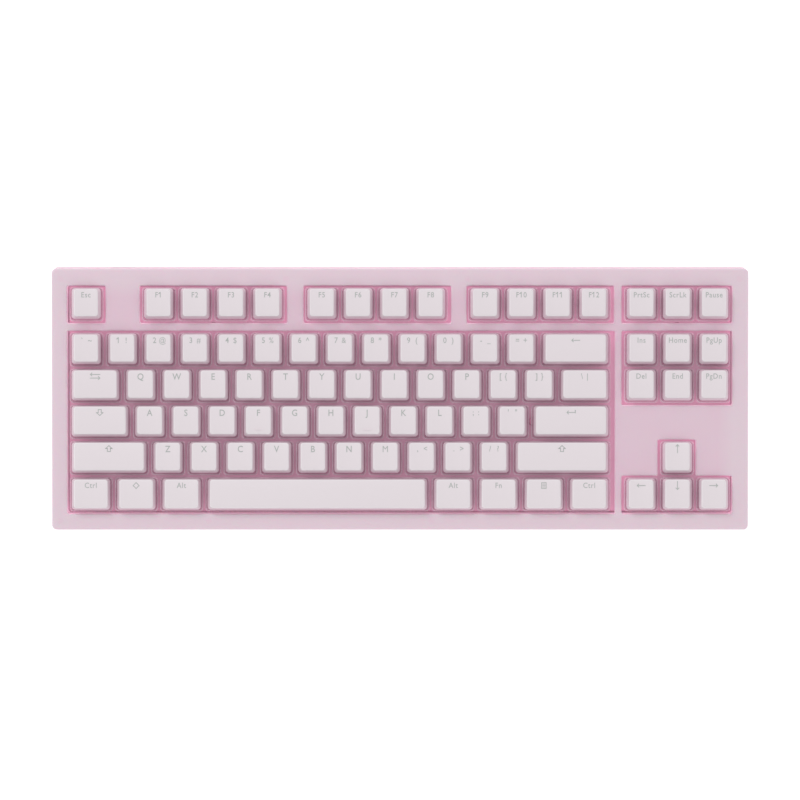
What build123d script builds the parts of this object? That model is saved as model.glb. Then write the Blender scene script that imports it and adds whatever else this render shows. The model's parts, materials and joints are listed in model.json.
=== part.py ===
"""Tenkeyless mechanical keyboard: a two-part translucent acrylic case, a plate of 87 sprung
switches on a circuit board, stabilisers under the wide keys, and two-tone keycaps.

World frame: +X to the right, +Y to the rear, +Z up, the feet stand on z = 0. Everything above the
feet is drawn on the deck, the top face of the switch plate, which rises to the rear by the
typing angle. Heights on the deck (w) are measured square to it. Units are millimetres.
"""

import os
from math import cos, radians, sin, tan

from build123d import *

os.makedirs("parts", exist_ok=True)

# ---- case ----
case_width = 366.1
case_depth = 137.3
typing_angle = 6.0
case_top = 7.5  # top face, above the deck
part_line = 0.5  # where the top frame sits on the bottom case
front_bottom = -12.6  # lowest point of the front wall
corner_radius = 2.4
window_radius = 0.9
side_wall = 7.9
rear_wall = 8.7
front_wall = 8.0
pocket_floor = -10.8
edge_round = 0.6
foot_proud = 1.8

# ---- key grid ----
pitch = 19.05
field_left = -case_width / 2 + 8.63
front_row = -50.2
function_row_gap = 1.25 * pitch
row_v = {"R5": front_row}
for lower, upper in (("R5", "R4"), ("R4", "R3"), ("R3", "R2"), ("R2", "R1")):
    row_v[upper] = row_v[lower] + pitch
row_v["F"] = row_v["R1"] + function_row_gap
nav_column = 15.31  # left edge of the right-hand clusters, in key pitches

# ---- plate and board ----
plate_size = (348.1, 118.2)
plate_thickness = 1.5
board_size = (346.0, 117.0)
board_top = -5.0
board_bottom = -6.6
cutout = 14.0
pin_hole_radius = 0.7
diode_size, diode_height = (2.6, 1.5), 1.1
diode_offset = (5.5, -4.5)
chip_size, chip_height = (8, 8), 1.2
regulator_size = (3.2, 2.5)

# ---- switch ----
housing = 13.9
flange = 15.6
flange_top = 1.0
housing_top = 6.6
housing_floor = -4.2
housing_cavity = 11.5
housing_roof = 0.9
housing_lean = 16  # degrees that its upper walls lean in
post_radius = 1.95
post_bottom = -8.2
slider_size = (6.8, 5.4)
slider_top = 6.9
slider_bottom = -0.2
cross_top = 10.6
cross_arm = 4.0
cross_thickness = 1.2
fit_gap = 0.05
spring_inner, spring_outer = 1.75, 2.15
spring_top = 4.4
pole_radius, pole_bottom = 1.3, -3.4
pole_gap = 0.15
pin_spots = ((-3.81, 2.54), (2.54, 5.08))

# ---- keycaps ----
skirt_bottom = 5.1  # at rest
cap_base = 18.0
cap_wall = 1.1
cap_roof = 1.7
boss_radius = 2.75
boss_bottom = 7.0
cap_corner = 1.5
rim = 0.5
dish_depth = 0.6
# profile: roof height above the deck, tilt, top width and depth of a one-unit cap, rearward offset
profiles = {
    "F": (15.4, 4.0, 12.4, 14.2, 1.3),
    "R1": (15.4, 4.0, 12.4, 14.2, 1.3),
    "R2": (14.2, 2.0, 12.8, 14.4, 1.3),
    "R3": (13.8, 0.0, 12.8, 14.4, 1.3),
    "R4": (14.0, -2.5, 12.65, 14.4, 1.3),
    "R5": (14.2, -3.0, 12.7, 14.8, 0.76),
}

# ---- stabilisers ----
stab_narrow = 11.938
stab_wide = 50.0
stab_housing = (6.6, 12.4)
stab_wall = 0.8
stab_cut_shift = 0.7
stab_top = 2.6
stab_slider_size = (4.7, 10.4)
stab_bottom = -1.0
wire_radius = 0.75
wire_v, wire_w = -8.4, -2.9
wire_arm = 7.0
wire_rest = 26.0  # degrees that the arms rise at rest
wire_bend = 1.3
clip_inner, clip_outer = 1.4, 3.3  # from and to, along the wire
clip_radius = 1.25
fork_width, fork_depth, fork_height = 2.2, 4.6, 2.4

# ---- fasteners and feet ----
screw_radius = 1.2
screw_length = 12.0
screw_tip = 5.6
head_radius, head_height = 2.25, 2.2
drive_radius = 1.2
board_screw_radius = 1.0
board_head_radius = 2.0
board_head_height = 1.5
board_screw_length = 5
standoff_radius = 2.8
side_screw = 4.5
case_screws_rear = (side_screw, 123.2, 218.7, case_width - side_screw)
case_screws_front = (side_screw, 82.5, 199.6, 297.6, case_width - side_screw)
rear_screw_inset, front_screw_inset = 5.3, 4.6
foot_radius = 6.0
foot_recess = 0.8

# ---- connector ----
port_column = 1.5
port_w = -8.2
port_size = (13.0, 8.0)
port_corner = 2.5
shell_size = (8.94, 3.16)
shell_length = 7.4
shell_wall = 0.3
tongue_size = (6.7, 0.7)

# ---- placing the deck so that the feet stand on z = 0 and the case is centred ----
slope = radians(typing_angle)
rear_bottom = front_bottom - case_depth * tan(slope)
deck_z = foot_proud + case_depth / 2 * sin(slope) - front_bottom * cos(slope)
deck_y = ((case_top - edge_round) * sin(slope) + rear_bottom * sin(slope)) / 2
deck = Plane(origin=(0, deck_y, deck_z), x_dir=(1, 0, 0), z_dir=(0, -sin(slope), cos(slope)))


def column_u(column):
    """Distance to the right of the case's middle of a place counted in key pitches."""
    return field_left + column * pitch


def row_of(row, names, widths, start=0.0):
    """Keys side by side: a list of (name, row, left column, width)."""
    keys, column = [], start
    for name, width in zip(names, widths):
        keys.append((name, row, column, width))
        column += width
    return keys


unit = [1] * 13
layout = (
    row_of("F", ["esc"], unit)
    + row_of("F", ["f1", "f2", "f3", "f4"], unit, 2)
    + row_of("F", ["f5", "f6", "f7", "f8"], unit, 6.5)
    + row_of("F", ["f9", "f10", "f11", "f12"], unit, 11)
    + row_of("F", ["print", "scroll", "pause"], unit, nav_column)
    + row_of("R1", ["grave", *"1234567890", "minus", "equal", "backspace"], unit + [2])
    + row_of("R1", ["insert", "home", "page_up"], unit, nav_column)
    + row_of("R2", ["tab", *"qwertyuiop", "bracket_l", "bracket_r", "backslash"], [1.5, *unit[1:], 1.5])
    + row_of("R2", ["delete", "end", "page_down"], unit, nav_column)
    + row_of("R3", ["caps_lock", *"asdfghjkl", "semicolon", "quote", "enter"], [1.75, *unit[2:], 2.25])
    + row_of("R4", ["left_shift", *"zxcvbnm", "comma", "period", "slash", "right_shift"],
             [2.25, *unit[3:], 2.75])
    + row_of("R4", ["up"], unit, nav_column + 1)
    + row_of("R5", ["ctrl_l", "os", "alt_l", "space", "alt_r", "fn", "menu", "ctrl_r"],
             [1.25, 1.25, 1.25, 6.25, 1.25, 1.25, 1.25, 1.25])
    + row_of("R5", ["left", "down", "right"], unit, nav_column)
)

# keys that move alone, and keys that share one joint
single_keys = [*"qwertyuiopasdfghjklzxcvbnm", "esc", "tab", "caps_lock", "left_shift",
               "right_shift", "enter", "backspace", "space"]
key_groups = {
    "function_keys": [f"f{n}" for n in range(1, 13)],
    "number_keys": ["grave", *"1234567890", "minus", "equal"],
    "system_keys": ["print", "scroll", "pause"],
    "navigation_keys": ["insert", "home", "page_up", "delete", "end", "page_down"],
    "arrow_keys": ["up", "left", "down", "right"],
    "punctuation_keys": ["bracket_l", "bracket_r", "backslash", "semicolon", "quote", "comma",
                         "period", "slash"],
    "modifier_keys": ["ctrl_l", "os", "alt_l", "alt_r", "fn", "menu", "ctrl_r"],
}
key_groups.update({f"key_{name}": [name] for name in single_keys})
place = {name: (column_u(column + width / 2), row_v[row]) for name, row, column, width in layout}
shape_of = {name: (row, width) for name, row, column, width in layout}
switch_spots = list(place.values())
stab_reach = {name: stab_wide if shape_of[name][1] > 3 else stab_narrow
              for name in ("backspace", "enter", "left_shift", "right_shift", "space")}

# windows in the top frame: first and last column, rear and front row, and how far each edge
# stands outside the key cells on the left, right, rear and front
windows = [
    (0, 1, "F", "F", 0.55, 0.55, 0.37, 0.34),
    (2, 6, "F", "F", 0.45, 0.65, 0.37, 0.34),
    (6.5, 10.5, "F", "F", 0.05, 1.25, 0.37, 0.34),
    (11, 15, "F", "F", 0.05, 1.2, 0.37, 0.34),
    (nav_column, nav_column + 3, "F", "F", 0.7, 0.25, 0.37, 0.34),
    (0, 15, "R1", "R5", 0.5, 1.7, 0.42, 0.62),
    (nav_column, nav_column + 3, "R1", "R2", 0.7, 0.25, 0.42, 0.67),
    (nav_column, nav_column + 3, "R5", "R5", 0.7, 0.25, 0.33, 0.6),
    (nav_column + 1, nav_column + 2, "R4", "R5", 0.7, 0.25, 0.3, 0.6),
]
case_screw_spots = [(x - case_width / 2, case_depth / 2 - rear_screw_inset) for x in case_screws_rear]
case_screw_spots += [(x - case_width / 2, -case_depth / 2 + front_screw_inset) for x in case_screws_front]
board_screw_spots = [
    (column_u(4.0), (row_v["F"] + row_v["R1"]) / 2),
    (column_u(10.75), (row_v["F"] + row_v["R1"]) / 2),
    (column_u(16.81), (row_v["F"] + row_v["R1"]) / 2),
    (column_u(1.56), row_v["R3"]),
    (column_u(12.84), row_v["R3"]),
    (column_u(16.81), row_v["R3"]),
    (column_u(6.875) - 25, row_v["R5"]),
    (column_u(6.875) + 25, row_v["R5"]),
]
foot_spots = [(x, y) for x in (-160, 0, 160) for y in (-54, 54)]


up = Axis(deck.origin, deck.z_dir)


def save(part, name):
    """Label a finished piece and write it as parts/NAME.step."""
    part.label = name
    export_step(part, f"parts/{name}.step")


def tapered_block(row, width, inset):
    """The outside of a keycap, or with an inset the hollow inside it, as a block on the deck."""
    roof, tilt, top_width, top_depth, shift = profiles[row]
    roof -= cap_roof if inset else 0
    half_base, half_depth = cap_base / 2 + (width - 1) * pitch / 2 - inset, cap_base / 2 - inset
    half_top = top_width / 2 + (width - 1) * pitch / 2 - inset
    front, rear = shift - top_depth / 2 + inset, shift + top_depth / 2 - inset
    rise = tan(radians(tilt))
    over = 2.0
    draw_in = (half_base - half_top) / (roof - skirt_bottom) * over
    with BuildPart() as block:
        with BuildSketch(Plane.YZ):
            Polygon((-half_depth, skirt_bottom), (half_depth, skirt_bottom),
                    (rear, roof + (rear - shift) * rise), (front, roof + (front - shift) * rise),
                    align=None)
        extrude(amount=half_base, both=True)
        with BuildSketch(Plane.XZ):
            Polygon((-half_base, skirt_bottom), (half_base, skirt_bottom),
                    (half_top - draw_in, roof + over), (draw_in - half_top, roof + over), align=None)
        extrude(amount=cap_base, both=True, mode=Mode.INTERSECT)
        corners = block.edges().filter_by(lambda e: abs((e @ 1 - e @ 0).Z) > 2)
        fillet(corners, cap_corner - inset / 2)
    return block.part


def keycap(row, width, reach):
    """A hollow cap with its dished roof, and a cross socket for each stem that it sits on."""
    roof, tilt, top_width, top_depth, shift = profiles[row]
    sockets = [(0, 0)] + ([(-reach, 0), (reach, 0)] if reach else [])
    chord = top_width / 2 + (width - 1) * pitch / 2 - rim
    dish_radius = (chord**2 + dish_depth**2) / (2 * dish_depth)
    lean = radians(tilt)
    roof_line = Plane(origin=(0, shift, roof), x_dir=(1, 0, 0), z_dir=(0, cos(lean), sin(lean)))
    with BuildPart() as cap:
        add(tapered_block(row, width, 0))
        fillet(cap.faces().sort_by(Axis.Z)[-1].edges(), rim)
        if width < 6:
            with BuildSketch(roof_line):
                with Locations((0, dish_depth - dish_radius)):
                    Circle(dish_radius)
            extrude(amount=cap_base, both=True, mode=Mode.SUBTRACT)
        add(tapered_block(row, width, cap_wall), mode=Mode.SUBTRACT)
        with BuildSketch(Plane.XY.offset(boss_bottom)):
            with Locations(*sockets):
                Circle(boss_radius)
        extrude(amount=roof - cap_roof / 2 - boss_bottom)
        with BuildSketch(Plane.XY.offset(boss_bottom)):
            with Locations(*sockets):
                cross(cross_arm + 2 * fit_gap, cross_thickness + 2 * fit_gap)
        extrude(amount=cross_top - boss_bottom + 0.3, mode=Mode.SUBTRACT)
    return cap.part


def cross(arm, thickness):
    """The outline of a cross stem or its socket, drawn in the sketch that is open."""
    Rectangle(arm, thickness)
    Rectangle(thickness, arm)


# ---- case ----
with BuildPart() as top_frame:
    with BuildSketch(deck.offset(part_line)):
        RectangleRounded(case_width, case_depth, corner_radius)
        with BuildSketch(deck.offset(part_line), mode=Mode.SUBTRACT) as openings:
            for first, last, rear, front, *margin in windows:
                left, right = column_u(first) - margin[0], column_u(last) + margin[1]
                back = row_v[rear] + pitch / 2 + margin[2]
                near = row_v[front] - pitch / 2 - margin[3]
                with Locations(((left + right) / 2, (back + near) / 2)):
                    Rectangle(right - left, back - near)
            fillet(openings.vertices(), window_radius)
    extrude(amount=case_top - part_line)
    top_face = top_frame.faces().sort_by(up)[-1]
    window_edges = [edge for wire in top_face.inner_wires() for edge in wire.edges()]
    fillet(top_face.outer_wire().edges() + window_edges, edge_round)
    with BuildSketch(deck.offset(part_line)):
        with Locations(*case_screw_spots):
            Circle(screw_radius + fit_gap)
    extrude(amount=screw_tip - part_line + 0.4, mode=Mode.SUBTRACT)
save(top_frame.part, "top_frame")

port = Plane(deck.from_local_coords(Vector(column_u(port_column), case_depth / 2, port_w)),
             x_dir=(1, 0, 0), z_dir=-deck.y_dir)
under_head = screw_tip - screw_length
with BuildPart() as bottom_case:
    with BuildSketch(deck.offset(part_line)):
        RectangleRounded(case_width, case_depth, corner_radius)
    extrude(amount=rear_bottom - part_line - 3)
    split(bisect_by=Plane.XY.offset(foot_proud), keep=Keep.TOP)
    chamfer(bottom_case.faces().sort_by(Axis.Z)[0].edges(), edge_round)
    with BuildSketch(deck.offset(pocket_floor)):
        with Locations((0, (front_wall - rear_wall) / 2)):
            RectangleRounded(case_width - 2 * side_wall, case_depth - front_wall - rear_wall, 2)
    extrude(amount=part_line - pocket_floor, mode=Mode.SUBTRACT)
    with BuildSketch(deck.offset(pocket_floor)):
        with Locations(*board_screw_spots):
            Circle(standoff_radius)
    extrude(amount=board_bottom - pocket_floor)
    with BuildSketch(deck.offset(board_bottom)):
        with Locations(*board_screw_spots):
            Circle(board_screw_radius + fit_gap)
    extrude(amount=pocket_floor - board_bottom + 0.3, mode=Mode.SUBTRACT)
    with BuildSketch(deck.offset(part_line)):
        with Locations(*case_screw_spots):
            Circle(screw_radius + 0.2)
    extrude(amount=under_head - part_line, mode=Mode.SUBTRACT)
    with BuildSketch(deck.offset(under_head)):
        with Locations(*case_screw_spots):
            Circle(head_radius + 0.3)
    extrude(amount=rear_bottom - under_head - 3, mode=Mode.SUBTRACT)
    with BuildSketch(port):
        RectangleRounded(*port_size, port_corner)
    extrude(amount=rear_wall + 0.1, mode=Mode.SUBTRACT)
    with BuildSketch(Plane.XY.offset(foot_proud)):
        with Locations(*foot_spots):
            Circle(foot_radius + 0.1)
    extrude(amount=foot_recess, mode=Mode.SUBTRACT)
save(bottom_case.part, "bottom_case")

with BuildPart() as case_screws:
    with BuildSketch(deck.offset(screw_tip)):
        with Locations(*case_screw_spots):
            Circle(screw_radius)
    extrude(amount=-screw_length)
    with BuildSketch(deck.offset(under_head)):
        with Locations(*case_screw_spots):
            Circle(head_radius)
    extrude(amount=-head_height)
    with BuildSketch(deck.offset(under_head - head_height)):
        with Locations(*case_screw_spots):
            RegularPolygon(drive_radius, 6)
    extrude(amount=head_height / 2, mode=Mode.SUBTRACT)
save(case_screws.part, "case_screws")

with BuildPart() as rubber_feet:
    with BuildSketch(Plane.XY):
        with Locations(*foot_spots):
            Circle(foot_radius)
    extrude(amount=foot_proud + foot_recess)
    chamfer(rubber_feet.edges().group_by(Axis.Z)[0], 0.5)
save(rubber_feet.part, "rubber_feet")

# ---- plate, board and what is soldered to it ----
stab_spots = [(place[name][0] + side * reach, place[name][1])
              for name, reach in stab_reach.items() for side in (-1, 1)]
with BuildPart() as switch_plate:
    with BuildSketch(deck):
        RectangleRounded(*plate_size, 1)
        with Locations(*switch_spots):
            Rectangle(cutout, cutout, mode=Mode.SUBTRACT)
        with Locations(*[(u, v - stab_cut_shift) for u, v in stab_spots]):
            Rectangle(stab_housing[0] + 0.4, stab_housing[1] + 1.8, mode=Mode.SUBTRACT)
        with Locations(*board_screw_spots):
            Circle(board_head_radius + 0.4, mode=Mode.SUBTRACT)
    extrude(amount=-plate_thickness)
save(switch_plate.part, "switch_plate")

pins = [(u + x, v + y) for u, v in switch_spots for x, y in pin_spots]
with BuildPart() as circuit_board:
    with BuildSketch(deck.offset(board_top)):
        RectangleRounded(*board_size, 1)
        with Locations(*switch_spots):
            Circle(post_radius + 0.1, mode=Mode.SUBTRACT)
        with Locations(*pins):
            Circle(pin_hole_radius, mode=Mode.SUBTRACT)
        with Locations(*board_screw_spots):
            Circle(board_screw_radius + 0.2, mode=Mode.SUBTRACT)
    extrude(amount=board_bottom - board_top)
save(circuit_board.part, "circuit_board")

chip_v = (row_v["F"] + row_v["R1"]) / 2
with BuildPart() as board_components:
    with BuildSketch(deck.offset(board_bottom)):
        with Locations(*[(u + diode_offset[0], v + diode_offset[1]) for u, v in switch_spots]):
            Rectangle(*diode_size)
    extrude(amount=-diode_height)
    with BuildSketch(deck.offset(board_bottom)):
        with Locations((column_u(2.5), chip_v)):
            Rectangle(*chip_size)
        with Locations((column_u(3.0), chip_v)):
            Rectangle(*regulator_size)
    extrude(amount=-chip_height)
save(board_components.part, "board_components")

with BuildPart() as board_screws:
    with BuildSketch(deck.offset(board_top)):
        with Locations(*board_screw_spots):
            Circle(board_screw_radius)
    extrude(amount=-board_screw_length)
    with BuildSketch(deck.offset(board_top)):
        with Locations(*board_screw_spots):
            Circle(board_head_radius)
    extrude(amount=board_head_height)
save(board_screws.part, "board_screws")

mouth = port.offset(rear_wall + 0.35)
with BuildPart() as usb_socket:
    with BuildSketch(mouth):
        SlotOverall(*shell_size)
        offset(amount=-shell_wall, mode=Mode.SUBTRACT)
    extrude(amount=shell_length)
    with BuildSketch(mouth.offset(shell_length - 0.8)):
        SlotOverall(shell_size[0] - 2 * shell_wall, shell_size[1] - 2 * shell_wall)
    extrude(amount=0.8)
    with BuildSketch(mouth.offset(0.8)):
        Rectangle(*tongue_size)
    extrude(amount=shell_length - 1.6)
save(usb_socket.part, "usb_socket")

# ---- switches ----
with BuildPart() as switch_lower_housings:
    for level, size, height in ((board_top, housing, -board_top), (0, flange, flange_top)):
        with BuildSketch(deck.offset(level)):
            with Locations(*switch_spots):
                Rectangle(size, size)
        extrude(amount=height)
    with BuildSketch(deck.offset(board_top)):
        with Locations(*switch_spots):
            Circle(post_radius)
    extrude(amount=post_bottom - board_top)
    with BuildSketch(deck.offset(housing_floor)):
        with Locations(*switch_spots):
            Rectangle(housing_cavity, housing_cavity)
    extrude(amount=flange_top - housing_floor, mode=Mode.SUBTRACT)
    with BuildSketch(deck.offset(post_bottom + 0.6)):
        with Locations(*switch_spots):
            Circle(pole_radius + pole_gap)
    extrude(amount=housing_floor - post_bottom - 0.6, mode=Mode.SUBTRACT)
save(switch_lower_housings.part, "switch_lower_housings")

with BuildPart() as upper_housing:
    with BuildSketch(Plane.XY.offset(flange_top)):
        Rectangle(housing, housing)
    extrude(amount=housing_top - flange_top, taper=housing_lean)
    with BuildSketch(Plane.XY.offset(flange_top)):
        Rectangle(housing - 2, housing - 2)
    extrude(amount=housing_top - flange_top - housing_roof, taper=housing_lean, mode=Mode.SUBTRACT)
    with BuildSketch(Plane.XY.offset(flange_top)):
        Rectangle(slider_size[0] + 0.3, slider_size[1] + 0.4)
    extrude(amount=housing_top, mode=Mode.SUBTRACT)
with BuildPart(deck) as switch_upper_housings:
    with Locations(*switch_spots):
        add(upper_housing.part)
save(switch_upper_housings.part, "switch_upper_housings")

with BuildPart() as switch_springs:
    with BuildSketch(deck.offset(housing_floor)):
        with Locations(*switch_spots):
            Circle(spring_outer)
            Circle(spring_inner, mode=Mode.SUBTRACT)
    extrude(amount=spring_top - housing_floor)
save(switch_springs.part, "switch_springs")

with BuildPart() as switch_contacts:
    with BuildSketch(deck.offset(post_bottom)):
        with Locations(*pins):
            Rectangle(0.4, 1.2)
    extrude(amount=board_top - post_bottom)
save(switch_contacts.part, "switch_contacts")

with BuildPart() as slider:
    with BuildSketch(Plane.XY.offset(slider_bottom)):
        Rectangle(*slider_size)
    extrude(amount=slider_top - slider_bottom)
    with BuildSketch(Plane.XY.offset(slider_bottom)):
        Circle(spring_outer + 0.25)
    extrude(amount=spring_top + 0.2 - slider_bottom, mode=Mode.SUBTRACT)
    with BuildSketch(Plane.XY.offset(pole_bottom)):
        Circle(pole_radius)
    extrude(amount=spring_top + 0.2 - pole_bottom)
    with BuildSketch(Plane.XY.offset(slider_top)):
        cross(cross_arm, cross_thickness)
    extrude(amount=cross_top - slider_top)

# ---- stabilisers ----
with BuildPart() as stab_slider:
    with BuildSketch(Plane.XY.offset(stab_bottom)):
        Rectangle(*stab_slider_size)
    extrude(amount=slider_top - stab_bottom)
    with BuildSketch(Plane.XY.offset(stab_bottom)):
        with Locations((0, -stab_slider_size[1] / 2)):
            Rectangle(fork_width, fork_depth, align=(Align.CENTER, Align.MIN))
    extrude(amount=fork_height, mode=Mode.SUBTRACT)
    with BuildSketch(Plane.XY.offset(slider_top)):
        cross(cross_arm, cross_thickness)
    extrude(amount=cross_top - slider_top)

with BuildPart() as stab_housing_left:
    with BuildSketch(Plane.XY.offset(board_top)):
        Rectangle(*stab_housing)
        Rectangle(stab_housing[0] - 2 * stab_wall, stab_housing[1] - 2 * stab_wall, mode=Mode.SUBTRACT)
    extrude(amount=stab_top - board_top)
    with BuildSketch(Plane.XY.offset(board_top)):
        with Locations((0, -stab_housing[1] / 2)):
            Rectangle(fork_width, 4 * stab_wall)
    extrude(amount=-board_top - 0.2, mode=Mode.SUBTRACT)
    with BuildSketch(Plane.YZ.offset(clip_inner)):
        with Locations((wire_v, wire_w)):
            Circle(clip_radius)
        with Locations(((wire_v - stab_housing[1] / 2) / 2, wire_w)):
            Rectangle(-wire_v - stab_housing[1] / 2, 2 * clip_radius)
        with Locations((wire_v, wire_w)):
            Circle(wire_radius + fit_gap, mode=Mode.SUBTRACT)
    extrude(amount=clip_outer - clip_inner)
stab_housing_right = stab_housing_left.part.mirror(Plane.YZ)
with BuildPart(deck) as stabiliser_housings:
    with Locations(*stab_spots[0::2]):
        add(stab_housing_left.part)
    with Locations(*stab_spots[1::2]):
        add(stab_housing_right)
save(stabiliser_housings.part, "stabiliser_housings")

for name, reach in stab_reach.items():
    u, v = place[name]
    wire_plane = Plane(deck.location * Location((u, v + wire_v, wire_w), (wire_rest, 0, 0)))
    with BuildPart() as stabiliser_wire:
        with BuildLine(wire_plane):
            path = FilletPolyline((-reach, wire_arm), (-reach, 0), (reach, 0), (reach, wire_arm),
                                  radius=wire_bend)
        with BuildSketch(Plane(origin=path @ 0, z_dir=path % 0)):
            Circle(wire_radius)
        sweep(path=path)
    save(stabiliser_wire.part, f"stabiliser_wire_{name}")

# ---- keys: each cap with its slider and its stabiliser sliders ----
caps = {}
for name, (row, width) in shape_of.items():
    if (row, width) not in caps:
        caps[row, width] = keycap(row, width, stab_reach.get(name))
for group, names in key_groups.items():
    with BuildPart(deck) as keys:
        for name in names:
            with Locations(place[name]):
                add(caps[shape_of[name]])
                add(slider.part)
                if name in stab_reach:
                    with Locations((-stab_reach[name], 0), (stab_reach[name], 0)):
                        add(stab_slider.part)
    save(keys.part, group)
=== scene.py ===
"""Looks of a tenkeyless keyboard in a frosted pink acrylic case, dressed around its CAD frame.

Lengths are metres. Places on the keyboard are given on its deck, the top face of the switch
plate: u runs right, v to the rear and w square out of the plate.
"""

import json
import logging
import math
from collections.abc import Callable, Iterable, Sequence
from dataclasses import dataclass, field, replace
from enum import Enum

import bmesh
import bpy
from mathutils import Matrix, Vector


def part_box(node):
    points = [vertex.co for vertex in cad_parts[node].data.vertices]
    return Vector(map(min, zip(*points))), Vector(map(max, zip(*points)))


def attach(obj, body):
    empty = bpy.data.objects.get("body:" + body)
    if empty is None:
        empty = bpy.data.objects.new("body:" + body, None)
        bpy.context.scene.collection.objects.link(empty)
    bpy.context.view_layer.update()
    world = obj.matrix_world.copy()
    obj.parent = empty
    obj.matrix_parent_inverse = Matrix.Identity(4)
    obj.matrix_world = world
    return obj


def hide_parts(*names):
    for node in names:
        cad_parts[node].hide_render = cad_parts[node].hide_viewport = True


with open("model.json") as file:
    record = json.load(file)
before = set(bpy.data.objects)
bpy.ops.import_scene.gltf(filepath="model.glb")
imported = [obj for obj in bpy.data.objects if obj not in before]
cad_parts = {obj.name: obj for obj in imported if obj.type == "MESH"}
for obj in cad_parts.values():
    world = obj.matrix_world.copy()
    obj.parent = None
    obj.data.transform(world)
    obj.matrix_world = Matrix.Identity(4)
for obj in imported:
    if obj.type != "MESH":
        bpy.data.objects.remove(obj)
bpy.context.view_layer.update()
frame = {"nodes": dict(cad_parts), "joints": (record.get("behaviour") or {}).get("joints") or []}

MM = 0.001
Pair = tuple[float, float]
Triple = tuple[float, float, float]
Colour = tuple[float, float, float, float]
Rise = Callable[[float, float], float]
log = logging.getLogger("keyboard")


# ---- shader and node helpers


class Flow:
    """A node socket that takes part in Python expressions."""

    def __init__(self, shader: "Shader", socket: bpy.types.NodeSocket) -> None:
        """Wraps an output socket of a shader's tree."""
        self.shader = shader
        self.socket = socket

    def _maths(self, operation: str, first: "Flow | float", second: "Flow | float") -> "Flow":
        """Adds a Math node on two values."""
        return self.shader.node("ShaderNodeMath", {"operation": operation}, {0: first, 1: second})

    def __add__(self, other: "Flow | float") -> "Flow":
        """Sum."""
        return self._maths("ADD", self, other)

    __radd__ = __add__

    def __sub__(self, other: "Flow | float") -> "Flow":
        """Difference."""
        return self._maths("SUBTRACT", self, other)

    def __rsub__(self, other: "Flow | float") -> "Flow":
        """Difference from a number."""
        return self._maths("SUBTRACT", other, self)

    def __mul__(self, other: "Flow | float") -> "Flow":
        """Product."""
        return self._maths("MULTIPLY", self, other)

    __rmul__ = __mul__

    def clamp(self, low: float, high: float) -> "Flow":
        """Runs evenly from 0 at low to 1 at high, and stays within them."""
        values = {"Value": self, "From Min": low, "From Max": high}
        return self.shader.node("ShaderNodeMapRange", {"clamp": True}, values)

    def size(self) -> "Flow":
        """Absolute value."""
        return self._maths("ABSOLUTE", self, 0.0)


class Shader:
    """A new material with one Principled BSDF, and the node method that all finishes use."""

    def __init__(self, name: str) -> None:
        """Makes the material.

        Args:
            name: The material's name.
        """
        self.material = bpy.data.materials.new(name)
        self.material.use_nodes = True
        self.tree = self.material.node_tree
        self.body = self.tree.nodes["Principled BSDF"]

    def node(self, kind: str, settings: dict[str, object], values: dict[int | str, object],
             output: int | str = 0) -> Flow:
        """Adds a node.

        Args:
            kind: The node's type.
            settings: Its properties, set first.
            values: What each input socket gets, a link or a value.
            output: The output socket to return.

        Returns:
            The chosen output.
        """
        made = self.tree.nodes.new(kind)
        for key, value in settings.items():
            setattr(made, key, value)
        for key, value in values.items():
            self.feed(made.inputs[key], value)
        return Flow(self, made.outputs[output])

    def feed(self, target: bpy.types.NodeSocket, value: object) -> None:
        """Links or sets one input socket.

        Args:
            target: The socket.
            value: A link or a plain value.
        """
        if isinstance(value, Flow):
            self.tree.links.new(value.socket, target)
        else:
            target.default_value = value

    def principled(self, **values: object) -> None:
        """Feeds the Principled BSDF, with underscores for the spaces in a socket's name."""
        for key, value in values.items():
            self.feed(self.body.inputs[key.replace("_", " ")], value)

    def place(self) -> Flow:
        """Object coordinates."""
        return self.node("ShaderNodeTexCoord", {}, {}, "Object")

    def noise(self, scale: float, detail: float = 2.0) -> Flow:
        """A noise of that many features a metre, from 0 to 1."""
        return self.node("ShaderNodeTexNoise", {}, {"Vector": self.place(), "Scale": scale, "Detail": detail})

    def along(self, vector: Flow, normal: Sequence[float]) -> Flow:
        """How far a vector reaches along a direction of length one."""
        settings = {"operation": "DOT_PRODUCT"}
        return self.node("ShaderNodeVectorMath", settings, {0: vector, 1: normal}, "Value")

    def height(self, normal: Sequence[float]) -> Flow:
        """How far out along a direction a point lies."""
        return self.along(self.place(), normal)

    def steepness(self, normal: Sequence[float]) -> Flow:
        """How squarely a face looks along a direction, 1 for straight along or against it."""
        return self.along(self.node("ShaderNodeNewGeometry", {}, {}, "Normal"), normal).size()

    def blend(self, factor: Flow, first: object, second: object) -> Flow:
        """Mixes two colours."""
        settings = {"data_type": "RGBA"}
        return self.node("ShaderNodeMix", settings, {0: factor, 6: first, 7: second}, 2)

    def bump(self, height: Flow, depth: float, strength: float = 1.0) -> Flow:
        """A bumped normal from a height field of that depth in metres."""
        values = {"Height": height, "Distance": depth, "Strength": strength}
        return self.node("ShaderNodeBump", {}, values)


def srgb(red: int, green: int, blue: int) -> Colour:
    """A display colour, 0 to 255, as linear values with full alpha."""
    linear = [c / 12.92 if c <= 0.04045 else ((c + 0.055) / 1.055) ** 2.4
              for c in (red / 255, green / 255, blue / 255)]
    return (*linear, 1.0)


# ---- finishes


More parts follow.
